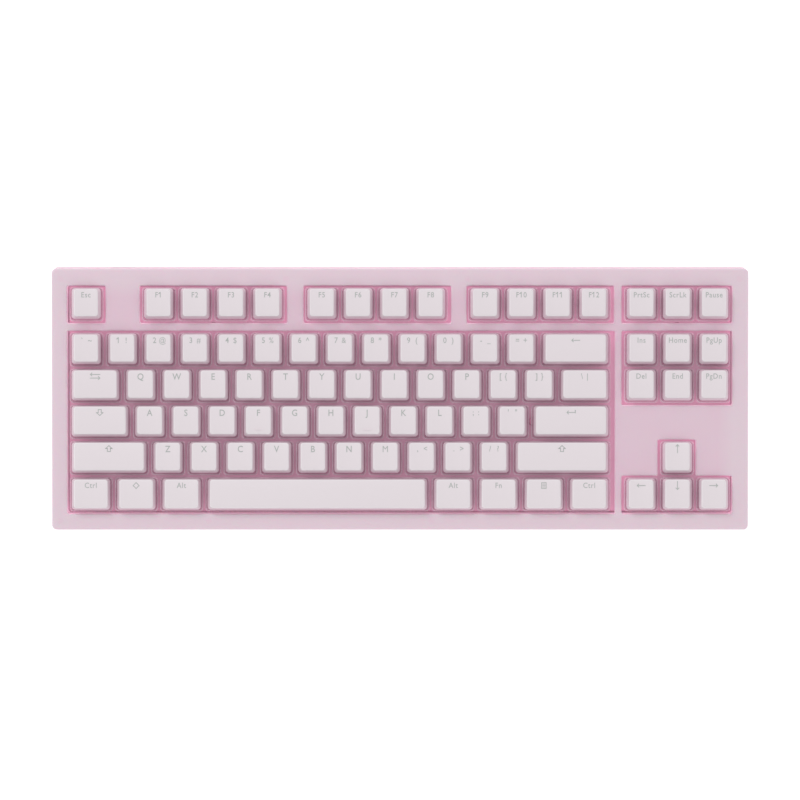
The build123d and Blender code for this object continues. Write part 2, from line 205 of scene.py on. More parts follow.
@dataclass(frozen=True)
class Finish:
    """A plain moulded, painted or metal surface with fine grain and uneven gloss."""

    name: str
    colour: Colour
    roughness: float
    grain: float = 2500.0
    grain_depth: float = 0.00001
    mottle: float = 0.05
    metallic: float = 0.0
    coat: float = 0.0
    glow: float = 0.0

    def shader(self) -> Shader:
        """Builds the common nodes.

        Returns:
            The shader, ready for more.
        """
        made = Shader(self.name)
        cloud = made.noise(60.0)
        fine = made.noise(self.grain, 3.0)
        darker = tuple(c * (1 - self.mottle * 2) for c in self.colour[:3]) + (1.0,)
        rough = self.roughness + (cloud - 0.5) * 0.12 + (fine - 0.5) * 0.1
        # glow sends the colour out as light: painted glow on the key skirts, the plate and the case's cut
        # walls, and an even brightness on the floor.
        made.principled(Base_Color=made.blend(cloud, self.colour, darker), Roughness=rough,
                        Metallic=self.metallic, Normal=made.bump(fine, self.grain_depth),
                        Coat_Weight=self.coat, Emission_Color=self.colour, Emission_Strength=self.glow)
        return made

    def material(self) -> bpy.types.Material:
        """The finished material."""
        return self.shader().material


@dataclass(frozen=True)
class ShellFinish(Finish):
    """Thin white plastic, with painted pink shade on its steep sides and a painted highlight where they round
    into the top.
    """

    # side is the colour of the painted pink shade on the steep sides, rim the colour of the painted highlight
    # on the rounding.
    side: Colour = (1, 1, 1, 1)
    rim: Colour = (1, 1, 1, 1)
    normal: Triple = (0, 0, 1)

    def material(self) -> bpy.types.Material:
        """The finished material, its brightest where the sides round into the top: a painted highlight, with
        painted pink shade on the steep sides.
        """
        made = self.shader()
        upright = made.steepness(self.normal)
        # Painted light: steep faces take the side shade, rounding faces the rim highlight, and the roof keeps
        # its own white.
        side_shade_to_rim_highlight = made.blend(upright.clamp(0.35, 0.75), self.side, self.rim)
        tint_with_painted_light = made.blend(upright.clamp(0.9, 0.972), side_shade_to_rim_highlight, self.colour)
        made.principled(Base_Color=tint_with_painted_light, Emission_Color=tint_with_painted_light, IOR=1.45)
        return made.material


@dataclass(frozen=True)
class SkirtFinish(Finish):
    """Frosted clear plastic that lets what is under it show, with a painted highlight along its foot."""

    alpha: float = 0.5
    # foot is the colour of the painted highlight along the foot, and foot_height is the foot's height along
    # the deck normal. The two widths after it set where the painted highlight fades out and where it is full.
    foot: Colour = (1, 1, 1, 1)
    foot_height: float = 0.0
    foot_band: float = 0.0011
    foot_core: float = 0.00077
    normal: Triple = (0, 0, 1)

    def material(self) -> bpy.types.Material:
        """The finished material, see-through by a constant alpha, with the painted foot highlight blended
        into its colour.
        """
        made = self.shader()
        end, start = self.foot_height + self.foot_band, self.foot_height + self.foot_core
        # Painted highlight: full up to the core above the foot, gone above the band.
        lit = made.height(self.normal).clamp(end, start)
        tint_with_painted_light = made.blend(lit, self.colour, self.foot)
        # The colour, painted highlight included, also gives off the finish's glow as painted light.
        made.principled(Base_Color=tint_with_painted_light, Emission_Color=tint_with_painted_light, Alpha=self.alpha, IOR=1.45)
        return made.material


@dataclass(frozen=True)
class AcrylicFinish(Finish):
    """Frosted acrylic: pale faces with a painted pink glow over the open tray, cut walls in deeper pink that
    give off a painted glow, and painted shade over the screw heads.
    """

    # wall is the cut walls' deeper pink, also sent out as their painted glow. inner is the painted pink glow
    # on the faces over the open tray.
    wall: Colour = (1, 1, 1, 1)
    inner: Colour = (1, 1, 1, 1)
    normal: Triple = (0, 0, 1)
    half_width: float = 0.18
    half_depth: float = 0.06
    rim: float = 0.008
    subsurface: float = 0.25
    # The screw heads under the faces get painted shade: a soft darker pink disc of screw_radius, full within
    # screw_core.
    screws: tuple[Pair, ...] = ()
    screw_radius: float = 0.00205
    screw_core: float = 0.00077
    screw_shade: float = 0.35
    seam: float = 0.0
    seam_width: float = 0.00025
    seam_core: float = 0.0001
    seam_shade: float = 0.6
    seam_dark: float = 0.45

    def material(self) -> bpy.types.Material:
        """The finished material: faces with the painted tray glow, cut walls with their painted glow, the
        painted shade over the screws, and the seam.
        """
        made = self.shader()
        across = made.node("ShaderNodeSeparateXYZ", {}, {0: made.place()})
        depth = made.node("ShaderNodeSeparateXYZ", {}, {0: made.place()}, 1)
        # Mask of the painted pink glow over the tray: 1 well inside the plate's outline, fading to 0 at its
        # edge.
        tray_glow_u = across.size().clamp(self.half_width, self.half_width - self.rim)
        tray_glow_v = depth.size().clamp(self.half_depth, self.half_depth - self.rim)
        cloud = made.noise(35.0)
        pale = made.blend(tray_glow_u * tray_glow_v * (0.85 + (cloud - 0.5) * 0.5), self.colour, self.inner)
        shade: Flow | float = 0.0
        # Painted shade over each screw head.
        for x, y in self.screws:
            off_x, off_y = across - x, depth - y
            square = off_x * off_x + off_y * off_y
            shade = shade + square.clamp(self.screw_radius ** 2, self.screw_core ** 2)
        face = made.blend(shade * self.screw_shade, pale, self.wall)
        cut = made.steepness(self.normal).clamp(0.85, 0.25)
        within = across.size().clamp(self.half_width + self.rim, self.half_width) * \
            depth.size().clamp(self.half_depth + self.rim, self.half_depth)
        # The cut walls over the tray give off the wall colour as a painted glow.
        made.principled(Emission_Color=made.blend(cut * within, (0.0, 0.0, 0.0, 1.0), self.wall))
        away = (made.height(self.normal) - self.seam).size()
        seam = away.clamp(self.seam_width, self.seam_core) * self.seam_shade
        dark = tuple(c * self.seam_dark for c in self.wall[:3]) + (1.0,)
        cut_wall = made.blend(seam, self.wall, dark)
        made.principled(Base_Color=made.blend(cut, face, cut_wall), Subsurface_Weight=self.subsurface,
                        Subsurface_Scale=0.004, Subsurface_Radius=(1.0, 0.45, 0.7), IOR=1.49)
        return made.material


# ---- the deck and the keys


@dataclass(frozen=True)
class Deck:
    """The plate's top face: where u, v and w start, and which way they run."""

    origin: Vector
    slope: float

    @classmethod
    def of_frame(cls, thickness: float = 1.5 * MM) -> "Deck":
        """Finds the deck from the switch plate's box and a key's joint.

        Args:
            thickness: The plate's thickness.

        Returns:
            The deck.
        """
        axis = next(j["axis"] for j in frame["joints"] if j["name"] == "key_a_press")
        slope = math.atan2(-axis[1], axis[2])
        low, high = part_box("switch_plate")
        half = (high[1] - low[1] - thickness * math.sin(slope)) / 2 / math.cos(slope)
        origin = Vector((0, low[1] + half * math.cos(slope), high[2] - half * math.sin(slope)))
        return cls(origin, slope)

    def matrix(self) -> Matrix:
        """Turns deck places into world places."""
        return Matrix.Translation(self.origin) @ Matrix.Rotation(self.slope, 4, "X")

    def normal(self) -> Vector:
        """Straight out of the plate."""
        return Vector((0, -math.sin(self.slope), math.cos(self.slope)))


class Symbol(Enum):
    """Drawn marks that stand on keys in place of words."""

    LEFT = "left"
    RIGHT = "right"
    UP = "up"
    DOWN = "down"
    TAB = "tab"
    SHIFT = "shift"
    CAPS = "caps"
    RETURN = "return"
    MENU = "menu"
    DIAMOND = "diamond"


Marks = tuple[str | Symbol, ...]


@dataclass(frozen=True)
class Profile:
    """The sculpt of one row's caps, in millimetres on the deck."""

    roof: float
    tilt: float
    top_width: float
    top_depth: float
    shift: float


@dataclass(frozen=True)
class Key:
    """One key: its row, its left edge and width in key pitches, and what it shows."""

    name: str
    row: str
    column: float
    width: float
    marks: Marks = ()


def line_of(row: str, start: float, *keys: tuple[str, float, Marks]) -> list[Key]:
    """Keys side by side.

    Args:
        row: The row's name.
        start: The first key's left edge in key pitches.
        keys: A name, a width and the marks of each.

    Returns:
        The keys with their columns filled in.
    """
    made = []
    for name, width, marks in keys:
        made.append(Key(name, row, start, width, marks))
        start += width
    return made


def plain(letters: str) -> list[tuple[str, float, Marks]]:
    """One-unit letter keys."""
    return [(letter, 1.0, (letter.upper(),)) for letter in letters]


def words(*names: tuple[str, str]) -> list[tuple[str, float, Marks]]:
    """One-unit keys with a word each."""
    return [(name, 1.0, (word,)) for name, word in names]


@dataclass
class Layout:
    """Where every key stands, and which keys share a moving body."""

    pitch: float = 19.05
    field_left: float = -174.42
    front_row: float = -50.2
    function_gap: float = 1.25
    cluster: float = 15.31
    stab_narrow: float = 11.938
    stab_wide: float = 50.0
    profiles: dict[str, Profile] = field(default_factory=lambda: {
        "F": Profile(15.4, 4.0, 12.4, 14.2, 1.3),
        "R1": Profile(15.4, 4.0, 12.4, 14.2, 1.3),
        "R2": Profile(14.2, 2.0, 12.8, 14.4, 1.3),
        "R3": Profile(13.8, 0.0, 12.8, 14.4, 1.3),
        "R4": Profile(14.0, -2.5, 12.65, 14.4, 1.3),
        "R5": Profile(14.2, -3.0, 12.7, 14.8, 0.76),
    })

    def row(self, name: str) -> float:
        """Finds a row.

        Args:
            name: The row's name.

        Returns:
            Its distance to the rear of the deck's middle.
        """
        order = ["R5", "R4", "R3", "R2", "R1"]
        if name == "F":
            return self.row("R1") + self.function_gap * self.pitch
        return self.front_row + order.index(name) * self.pitch

    def spot(self, key: Key) -> Pair:
        """The middle of a key."""
        return self.field_left + (key.column + key.width / 2) * self.pitch, self.row(key.row)

    def stab(self, key: Key) -> float:
        """Finds a key's stabilisers.

        Args:
            key: The key.

        Returns:
            How far they stand to each side of it, or 0.
        """
        if key.width < 2:
            return 0.0
        return self.stab_wide if key.width > 3 else self.stab_narrow

    def keys(self) -> list[Key]:
        """All 87 keys."""
        numbers = [(digit, 1.0, (digit, shifted)) for digit, shifted in zip("1234567890", "!@#$%^&*()")]
        made = line_of("F", 0, ("esc", 1.0, ("Esc",)))
        for first, column in ((1, 2), (5, 6.5), (9, 11)):
            made += line_of("F", column, *words(*[(f"f{n}", f"F{n}") for n in range(first, first + 4)]))
        made += line_of("F", self.cluster,
                        *words(("print", "PrtSc"), ("scroll", "ScrLk"), ("pause", "Pause")))
        made += line_of("R1", 0, ("grave", 1.0, ("`", "~")), *numbers, ("minus", 1.0, ("-", "_")),
                        ("equal", 1.0, ("=", "+")), ("backspace", 2.0, (Symbol.LEFT,)))
        made += line_of("R1", self.cluster, *words(("insert", "Ins"), ("home", "Home"), ("page_up", "PgUp")))
        made += line_of("R2", 0, ("tab", 1.5, (Symbol.TAB,)), *plain("qwertyuiop"),
                        ("bracket_l", 1.0, ("[", "{")), ("bracket_r", 1.0, ("]", "}")),
                        ("backslash", 1.5, ("\\", "|")))
        made += line_of("R2", self.cluster, *words(("delete", "Del"), ("end", "End"), ("page_down", "PgDn")))
        made += line_of("R3", 0, ("caps_lock", 1.75, (Symbol.CAPS,)), *plain("asdfghjkl"),
                        ("semicolon", 1.0, (";", ":")), ("quote", 1.0, ("'", '"')),
                        ("enter", 2.25, (Symbol.RETURN,)))
        made += line_of("R4", 0, ("left_shift", 2.25, (Symbol.SHIFT,)), *plain("zxcvbnm"),
                        ("comma", 1.0, (",", "<")), ("period", 1.0, (".", ">")),
                        ("slash", 1.0, ("/", "?")), ("right_shift", 2.75, (Symbol.SHIFT,)))
        made += line_of("R4", self.cluster + 1, ("up", 1.0, (Symbol.UP,)))
        made += line_of("R5", 0, ("ctrl_l", 1.25, ("Ctrl",)), ("os", 1.25, (Symbol.DIAMOND,)),
                        ("alt_l", 1.25, ("Alt",)), ("space", 6.25, ()), ("alt_r", 1.25, ("Alt",)),
                        ("fn", 1.25, ("Fn",)), ("menu", 1.25, (Symbol.MENU,)), ("ctrl_r", 1.25, ("Ctrl",)))
        made += line_of("R5", self.cluster, ("left", 1.0, (Symbol.LEFT,)), ("down", 1.0, (Symbol.DOWN,)),
                        ("right", 1.0, (Symbol.RIGHT,)))
        return made

    def groups(self) -> dict[str, list[Key]]:
        """The keys of each moving body."""
        shared = {
            "function_keys": [f"f{n}" for n in range(1, 13)],
            "number_keys": ["grave", *"1234567890", "minus", "equal"],
            "system_keys": ["print", "scroll", "pause"],
            "navigation_keys": ["insert", "home", "page_up", "delete", "end", "page_down"],
            "arrow_keys": ["up", "left", "down", "right"],
            "punctuation_keys": ["bracket_l", "bracket_r", "backslash", "semicolon", "quote",
                                 "comma", "period", "slash"],
            "modifier_keys": ["ctrl_l", "os", "alt_l", "alt_r", "fn", "menu", "ctrl_r"],
        }
        body_of = {name: body for body, names in shared.items() for name in names}
        made: dict[str, list[Key]] = {}
        for key in self.keys():
            made.setdefault(body_of.get(key.name, f"key_{key.name}"), []).append(key)
        return made


# ---- mesh building


class Part(Enum):
    """The material slots of a key, in order."""

    SHELL = 0
    SKIRT = 1
    LEGEND = 2
    SLIDER = 3


class Builder:
    """Gathers closed solids in deck millimetres and turns them into one piece."""

    def __init__(self, deck: Deck) -> None:
        """Starts an empty mesh."""
        self.deck = deck
        self.mesh = bmesh.new()

    def rings(self, rings: Sequence[Sequence[Vector]], slots: Sequence[int], strips: bool = False) -> None:
        """Joins rings of equal length into a closed skin.

        Args:
            rings: The rings from one end to the other, each running anticlockwise from above.
            slots: The material of each band between two rings, and of the last end.
            strips: Closes the ends with strips across two matching chains, not with one flat face.
        """
        verts = [[self.mesh.verts.new(p) for p in ring] for ring in rings]
        count = len(verts[0])
        for band, (low, high) in enumerate(zip(verts, verts[1:])):
            for i in range(count):
                j = (i + 1) % count
                face = self.mesh.faces.new((low[i], low[j], high[j], high[i]))
                face.material_index = slots[band]
                face.smooth = True
        for ring, slot in ((verts[0][::-1], slots[0]), (verts[-1], slots[-1])):
            ends = [ring]
            if strips:
                pairs = list(zip(ring[: count // 2], ring[: count // 2 - 1 : -1]))
                ends = [(a, c, d, b) for (a, b), (c, d) in zip(pairs, pairs[1:])]
            for corners in ends:
                face = self.mesh.faces.new(corners)
                face.material_index, face.smooth = slot, strips

    def tube(self, spot: Pair, inner: float, outer: float, w: Pair,
             slot: int, sides: int = 16) -> None:
        """A short upright tube.

        Args:
            spot: Its middle.
            inner: The bore's radius.
            outer: The wall's radius.
            w: Where it starts and ends.
            slot: The material.
            sides: How many faces go round it.
        """
        turns = [(math.cos(2 * math.pi * i / sides), math.sin(2 * math.pi * i / sides)) for i in range(sides)]
        rings = [[self.mesh.verts.new((spot[0] + radius * c, spot[1] + radius * s, height)) for c, s in turns]
                 for radius, height in ((outer, w[0]), (outer, w[1]), (inner, w[1]), (inner, w[0]))]
        for low, high in zip(rings, rings[1:] + rings[:1]):
            for i in range(sides):
                j = (i + 1) % sides
                self.mesh.faces.new((low[i], low[j], high[j], high[i])).material_index = slot

    def prism(self, outline: Sequence[Pair], low: Rise,
              high: Rise, slot: int) -> None:
        """A closed prism over an outline.

        Args:
            outline: Its corners, anticlockwise.
            low: The underside's height at a place.
            high: The top's height at a place.
            slot: The material.
        """
        self.rings([[Vector((u, v, low(u, v))) for u, v in outline],
                    [Vector((u, v, high(u, v))) for u, v in outline]], [slot])

    def block(self, u: Pair, v: Pair, w: Pair, slot: int,
              edge: float = 0.12) -> None:
        """A block with its upright corners cut.

        Args:
            u: Where it starts and ends.
            v: Where it starts and ends.
            w: Where it starts and ends.
            slot: The material.
            edge: How much of each corner is cut.
        """
        a, b, c, d = u[0], u[1], v[0], v[1]
        outline = [(a + edge, c), (b - edge, c), (b, c + edge), (b, d - edge),
                   (b - edge, d), (a + edge, d), (a, d - edge), (a, c + edge)]
        self.prism(outline, lambda _u, _v: w[0], lambda _u, _v: w[1], slot)

    def finish(self, name: str, materials: Iterable[bpy.types.Material],
               sharp: float = 32.0) -> bpy.types.Object:
        """Makes the object, in the world's metres.

        Args:
            name: The piece's name.
            materials: Its material slots.
            sharp: The angle in degrees from which an edge is drawn sharp.

        Returns:
            The piece.
        """
        self.mesh.transform(self.deck.matrix() @ Matrix.Scale(MM, 4))
        data = bpy.data.meshes.new(name)
        self.mesh.to_mesh(data)
        self.mesh.free()
        for material in materials:
            data.materials.append(material)
        data.set_sharp_from_angle(angle=math.radians(sharp))
        made = bpy.data.objects.new(name, data)
        bpy.context.collection.objects.link(made)
        return made


# ---- one key


@dataclass
class Lettering:
    """Words and drawn marks as thin closed shapes that follow a cap's roof."""

    letter_height: float = 3.3
    word_height: float = 2.75
    pair_height: float = 2.9
    stroke: float = 0.5
    head: float = 0.8
    slim: float = 0.9
    spacing: float = 1.12
    weight: float = 0.008
    fine: str = "@#%&$M"
    proud: float = 0.05
    sunk: float = 0.06
    cache: dict[str, bpy.types.Mesh] = field(default_factory=dict)

    def shape(self, text: str) -> bpy.types.Mesh:
        """A text as a flat slab one unit thick to each side, with capitals one unit tall.

        Args:
            text: What to write.

        Returns:
            The mesh, kept for the next time.
        """
        if text not in self.cache:
            curve = bpy.data.curves.new("lettering", "FONT")
            curve.body, curve.align_x, curve.resolution_u = text, "CENTER", 3
            curve.extrude, curve.space_character = 1.0, self.spacing
            curve.offset = 0.0 if text in self.fine else self.weight
            holder = bpy.data.objects.new("lettering", curve)
            bpy.context.collection.objects.link(holder)
            bpy.context.view_layer.update()
            evaluated = holder.evaluated_get(bpy.context.evaluated_depsgraph_get())
            self.cache[text] = bpy.data.meshes.new_from_object(evaluated)
            bpy.data.objects.remove(holder)
            bpy.data.curves.remove(curve)
        return self.cache[text]

    def write(self, build: Builder, text: str, height: float, spot: Pair,
              roof: Rise) -> None:
        """Lays a text on a roof.

        Args:
            build: The mesh that it joins.
            text: What to write.
            height: The height of its capitals.
            spot: The middle of the text's top line.
            roof: The roof's height at a place.
        """
        capital = max(v.co.y for v in self.shape("H").vertices)
        scale = height / capital
        source = self.shape(text)
        verts = []
        for vert in source.vertices:
            u, v = spot[0] + vert.co.x * scale * self.slim, spot[1] - height + vert.co.y * scale
            lift = self.proud if vert.co.z > 0 else -self.sunk
            verts.append(build.mesh.verts.new((u, v, roof(u, v) + lift)))
        for polygon in source.polygons:
            face = build.mesh.faces.new([verts[i] for i in polygon.vertices])
            face.material_index = Part.LEGEND.value
        for glyph, (_, right) in zip(text, self.spans(source)):
            if glyph == "1":
                stem = spot[0] + right * scale * self.slim - self.stroke / 2
                self.line(build, [(stem, spot[1] - 0.15), (stem - 0.7, spot[1] - 0.75)], roof)

    def spans(self, source: bpy.types.Mesh) -> list[Pair]:
        """From where to where each letter of a text reaches along its line.

        Args:
            source: The text's mesh.

        Returns:
            The reaches in order.
        """
        reaches = sorted((min(xs), max(xs)) for xs in (
            [source.vertices[i].co.x for i in polygon.vertices] for polygon in source.polygons))
        merged = [reaches[0]]
        for low, high in reaches[1:]:
            if low > merged[-1][1] + 0.0001:
                merged.append((low, high))
            else:
                merged[-1] = (merged[-1][0], max(high, merged[-1][1]))
        return merged

    def line(self, build: Builder, path: Sequence[Pair],
             roof: Rise, width: float = 0.0) -> None:
        """A pen line along straight runs, each a slab of its own.

        Args:
            build: The mesh that it joins.
            path: The corners of the line.
            roof: The roof's height at a place.
            width: The line's width, or 0 for the usual stroke.
        """
        half = (width or self.stroke) / 2
        for (u0, v0), (u1, v1) in zip(path, path[1:]):
            length = math.hypot(u1 - u0, v1 - v0)
            du, dv = (u1 - u0) / length * half, (v1 - v0) / length * half
            self.patch(build, [(u0 - du + dv, v0 - dv - du), (u1 + du + dv, v1 + dv - du),
                               (u1 + du - dv, v1 + dv + du), (u0 - du - dv, v0 - dv + du)], roof)

    def patch(self, build: Builder, outline: Sequence[Pair],
              roof: Rise) -> None:
        """A filled shape on a roof."""
        build.prism(outline, lambda u, v: roof(u, v) - self.sunk, lambda u, v: roof(u, v) + self.proud,
                    Part.LEGEND.value)

    def arrow(self, build: Builder, spot: Pair, way: Pair, length: float,
              roof: Rise) -> None:
        """A thin arrow with an open head.

        Args:
            build: The mesh that it joins.
            spot: The arrow's middle.
            way: The direction it points in, of length one.
            length: From end to end.
            roof: The roof's height at a place.
        """
        (u, v), (du, dv) = spot, way
        tip = (u + du * length / 2, v + dv * length / 2)
        neck = (tip[0] - du * self.head, tip[1] - dv * self.head)
        self.line(build, [(u - du * length / 2, v - dv * length / 2), tip], roof, self.stroke * 0.8)
        self.line(build, [(neck[0] + dv * self.head, neck[1] - du * self.head), tip,
                          (neck[0] - dv * self.head, neck[1] + du * self.head)], roof, self.stroke * 0.8)

    def symbol(self, build: Builder, mark: Symbol, top: float, roof: Rise) -> None:
        """Draws one of the marks, hung from a line near the rear of the roof.

        Args:
            build: The mesh that it joins.
            mark: Which one.
            top: Where the tops of letters would be.
            roof: The roof's height at a place.
        """
        middle = top - 1.5
        ways = {Symbol.LEFT: (-1, 0), Symbol.RIGHT: (1, 0), Symbol.UP: (0, 1), Symbol.DOWN: (0, -1)}
        if mark in ways:
            self.arrow(build, (0, middle), ways[mark], 4.2, roof)
        elif mark is Symbol.RETURN:
            self.arrow(build, (0, middle), (-1, 0), 4.4, roof)
            self.line(build, [(2.2, middle - 0.2), (2.2, middle + 1.1)], roof)
        elif mark is Symbol.TAB:
            self.arrow(build, (0, middle + 0.95), (-1, 0), 5.0, roof)
            self.arrow(build, (0, middle - 0.95), (1, 0), 5.0, roof)
        elif mark in (Symbol.SHIFT, Symbol.CAPS):
            turn = 1 if mark is Symbol.SHIFT else -1
            outline = [(-0.8, -1.5), (0.8, -1.5), (0.8, 0.1), (1.7, 0.1), (0, 1.6), (-1.7, 0.1),
                       (-0.8, 0.1), (-0.8, -1.5)]
            self.line(build, [(u, middle + v * turn) for u, v in outline], roof, self.stroke * 0.8)
        elif mark is Symbol.MENU:
            frame_line = [(-1.2, -1.5), (1.2, -1.5), (1.2, 1.5), (-1.2, 1.5), (-1.2, -1.5)]
            self.line(build, [(u, middle + v) for u, v in frame_line], roof, self.stroke * 0.7)
            for rise in (-0.75, 0, 0.75):
                self.line(build, [(-0.7, middle + rise), (0.7, middle + rise)], roof, self.stroke * 0.6)
        elif mark is Symbol.DIAMOND:
            outline = [(0, -1.55), (1.55, 0), (0, 1.55), (-1.55, 0), (0, -1.55)]
            self.line(build, [(u, middle + v) for u, v in outline], roof, self.stroke * 0.8)


@dataclass
class KeyShape:
    """A two-tone cap on its slider: a white shell moulded over a frosted skirt."""

    layout: Layout
    lettering: Lettering
    skirt: float = 5.1
    base: float = 18.0
    wall: float = 1.1
    ceiling: float = 1.7
    base_corner: float = 2.0
    top_corner: float = 1.5
    seam: float = 0.47
    ledge: float = 0.16
    lip: float = 0.3
    rim: float = 0.5
    dish: float = 0.55
    corner_steps: int = 5
    mark_drop: float = 1.6
    wide_pair: float = 2.05
    close_pair: float = 1.45
    close_marks: tuple[str, ...] = ("[", "]", "\\", ";")
    bar: Pair = (2.3, 0.28)
    bar_tip: float = 2.484
    bar_place: float = 2.3
    bar_proud: float = 0.3
    slider_top: float = 6.9
    cross: Pair = (2.0, 0.6)
    cross_top: float = 10.6
    socket: Pair = (2.15, 2.75)
    socket_span: Pair = (7.0, 12.2)

    def outline(self, key: Key, rise: float, inset: float) -> list[Pair]:
        """The cap's outline at a share of its height.

        Args:
            key: The key.
            rise: 0 at the skirt's foot, 1 at the roof.
            inset: How far to stand inside that outline.

        Returns:
            Points anticlockwise: a front chain from left to right, and a rear chain back again.
        """
        profile = self.layout.profiles[key.row]
        extra = (key.width - 1) * self.layout.pitch / 2
        half = self.base / 2 + (profile.top_width - self.base) / 2 * rise + extra - inset
        front = -self.base / 2 + (profile.shift - profile.top_depth / 2 + self.base / 2) * rise + inset
        rear = self.base / 2 + (profile.shift + profile.top_depth / 2 - self.base / 2) * rise - inset
        radius = max(0.3, self.base_corner + (self.top_corner - self.base_corner) * rise - inset)
        runs = round(10 * key.width)
        points: list[Pair] = []
        for side, edge in ((1, front), (-1, rear)):
            for end in (-side, side):
                start = 180 if end == -side else 270
                for step in range(self.corner_steps + 1):
                    angle = math.radians(start + 90 * step / self.corner_steps + (0 if side == 1 else 180))
                    points.append((end * (half - radius) + radius * math.cos(angle),
                                   edge + side * radius + radius * math.sin(angle)))
                if end == -side:
                    reach = half - radius
                    points += [(-side * reach + side * 2 * reach * i / runs, edge) for i in range(1, runs)]
        return points

    def hollow(self, key: Key, u: float) -> float:
        """How deep the dish is.

        Args:
            key: The key.
            u: The place across its roof.

        Returns:
            The depth under the roof's plane, 0 on the space bar.
        """
        if key.width > 6:
            return 0.0
        extra = (key.width - 1) * self.layout.pitch / 2
        chord = self.layout.profiles[key.row].top_width / 2 + extra - self.rim
        return self.dish * max(0.0, 1 - (u / chord) ** 2)

    def roof(self, key: Key, v: float, drop: float = 0.0) -> float:
        """The height of the roof's plane, before the dish."""
        profile = self.layout.profiles[key.row]
        return profile.roof - drop + (v - profile.shift) * math.tan(math.radians(profile.tilt))

    def ring(self, key: Key, rise: float, inset: float, drop: float = 0.0,
             dished: bool = False) -> list[Vector]:
        """One ring of the skin.

        Args:
            key: The key.
            rise: Its share of the height.
            inset: How far it stands inside the outline.
            drop: How far it lies under the roof's plane at full rise.
            dished: Whether it follows the dish.

        Returns:
            The ring's points.
        """
        made = []
        for u, v in self.outline(key, rise, inset):
            w = self.skirt + (self.roof(key, v, drop) - self.skirt) * rise
            made.append(Vector((u, v, w - (self.hollow(key, u) if dished else 0))))
        return made

    def add_cap(self, build: Builder, key: Key) -> None:
        """Adds the shell and the skirt, as one closed skin with its hollow inside.

        Args:
            build: The mesh that they join.
            key: The key.
        """
        shell, skirt = Part.SHELL.value, Part.SKIRT.value
        rings = [
            (self.ring(key, 1.0, self.wall, self.ceiling), shell),
            (self.ring(key, self.seam, self.wall), skirt),
            (self.ring(key, 0.0, self.wall), skirt),
            (self.ring(key, 0.0, 0.12), skirt),
            (self.ring(key, 0.015, 0.0), skirt),
            (self.ring(key, 0.06, 0.0), skirt),
            (self.ring(key, 0.08, self.lip), skirt),
            (self.ring(key, self.seam, self.ledge), shell),
            (self.ring(key, self.seam + 0.005, 0.02), shell),
            (self.ring(key, self.seam + 0.03, 0.0), shell),
            (self.ring(key, 0.93, 0.0, dished=True), shell),
            (self.ring(key, 0.975, 0.07, dished=True), shell),
            (self.ring(key, 1.0, 0.24, 0.06, dished=True), shell),
            (self.ring(key, 1.0, self.rim, dished=True), shell),
        ]
        build.rings([ring for ring, _ in rings], [slot for _, slot in rings], strips=True)

    def add_stem(self, build: Builder, u: float, half_u: float, half_v: float, foot: float) -> None:
        """Adds a slider with its cross, and the round socket of the cap around the cross.

        Args:
            build: The mesh that they join.
            u: How far to the side of the key's middle they stand.
            half_u: Half the slider's width.
            half_v: Half the slider's depth.
            foot: Where the slider starts.
        """
        slider, (long, thin) = Part.SLIDER.value, self.cross
        rise = (self.slider_top, self.cross_top)
        build.block((u - half_u, u + half_u), (-half_v, half_v), (foot, self.slider_top), slider)
        build.block((u - long, u + long), (-thin, thin), rise, slider)
        build.block((u - thin, u + thin), (-long, long), rise, slider)
        build.tube((u, 0.0), *self.socket, self.socket_span, Part.SHELL.value)

    def add_bar(self, build: Builder, key: Key) -> None:
        """Adds the small ridge by which fingers find their place.

        Args:
            build: The mesh that it joins.
            key: The key.
        """
        profile = self.layout.profiles[key.row]
        v = profile.shift - profile.top_depth / 2 + self.bar_place
        (reach, half), tip = self.bar, self.bar_tip
        outline = [(-reach, v - half), (reach, v - half), (tip, v), (reach, v + half), (-reach, v + half),
                   (-tip, v)]
        build.prism(outline, lambda x, y: self.roof(key, y) - self.hollow(key, x) - 0.1,
                    lambda x, y: self.roof(key, y) - self.hollow(key, x) + self.bar_proud, Part.SHELL.value)

    def add_marks(self, build: Builder, key: Key) -> None:
        """Adds what the key shows.

        Args:
            build: The mesh that it joins.
            key: The key.
        """
        profile = self.layout.profiles[key.row]
        top = profile.shift + profile.top_depth / 2 - self.mark_drop

        def roof(u: float, v: float) -> float:
            """The dished roof's height."""
            return self.roof(key, v) - self.hollow(key, u)

        marks = key.marks
        if len(marks) == 2:
            spread = self.close_pair if marks[0] in self.close_marks else self.wide_pair
            for mark, side in zip(marks, (-spread, spread)):
                self.lettering.write(build, str(mark), self.lettering.pair_height, (side, top), roof)
        elif marks and isinstance(marks[0], Symbol):
            self.lettering.symbol(build, marks[0], top, roof)
        elif marks:
            tall = self.lettering.letter_height if len(marks[0]) == 1 else self.lettering.word_height
            self.lettering.write(build, marks[0], tall, (0.0, top), roof)

    def add(self, build: Builder, key: Key) -> None:
        """Adds a whole key where it stands on the deck.

        Args:
            build: The mesh that it joins.
            key: The key.
        """
        before = set(build.mesh.verts)
        self.add_cap(build, key)
        self.add_stem(build, 0.0, 3.4, 2.7, -0.2)
        reach = self.layout.stab(key)
        for side in (-reach, reach) if reach else ():
            self.add_stem(build, side, 2.35, 5.2, -1.0)
        if key.name in ("f", "j"):
            self.add_bar(build, key)
        self.add_marks(build, key)
        u, v = self.layout.spot(key)
        for vert in build.mesh.verts:
            if vert not in before:
                vert.co += Vector((u, v, 0))


# ---- assemblies


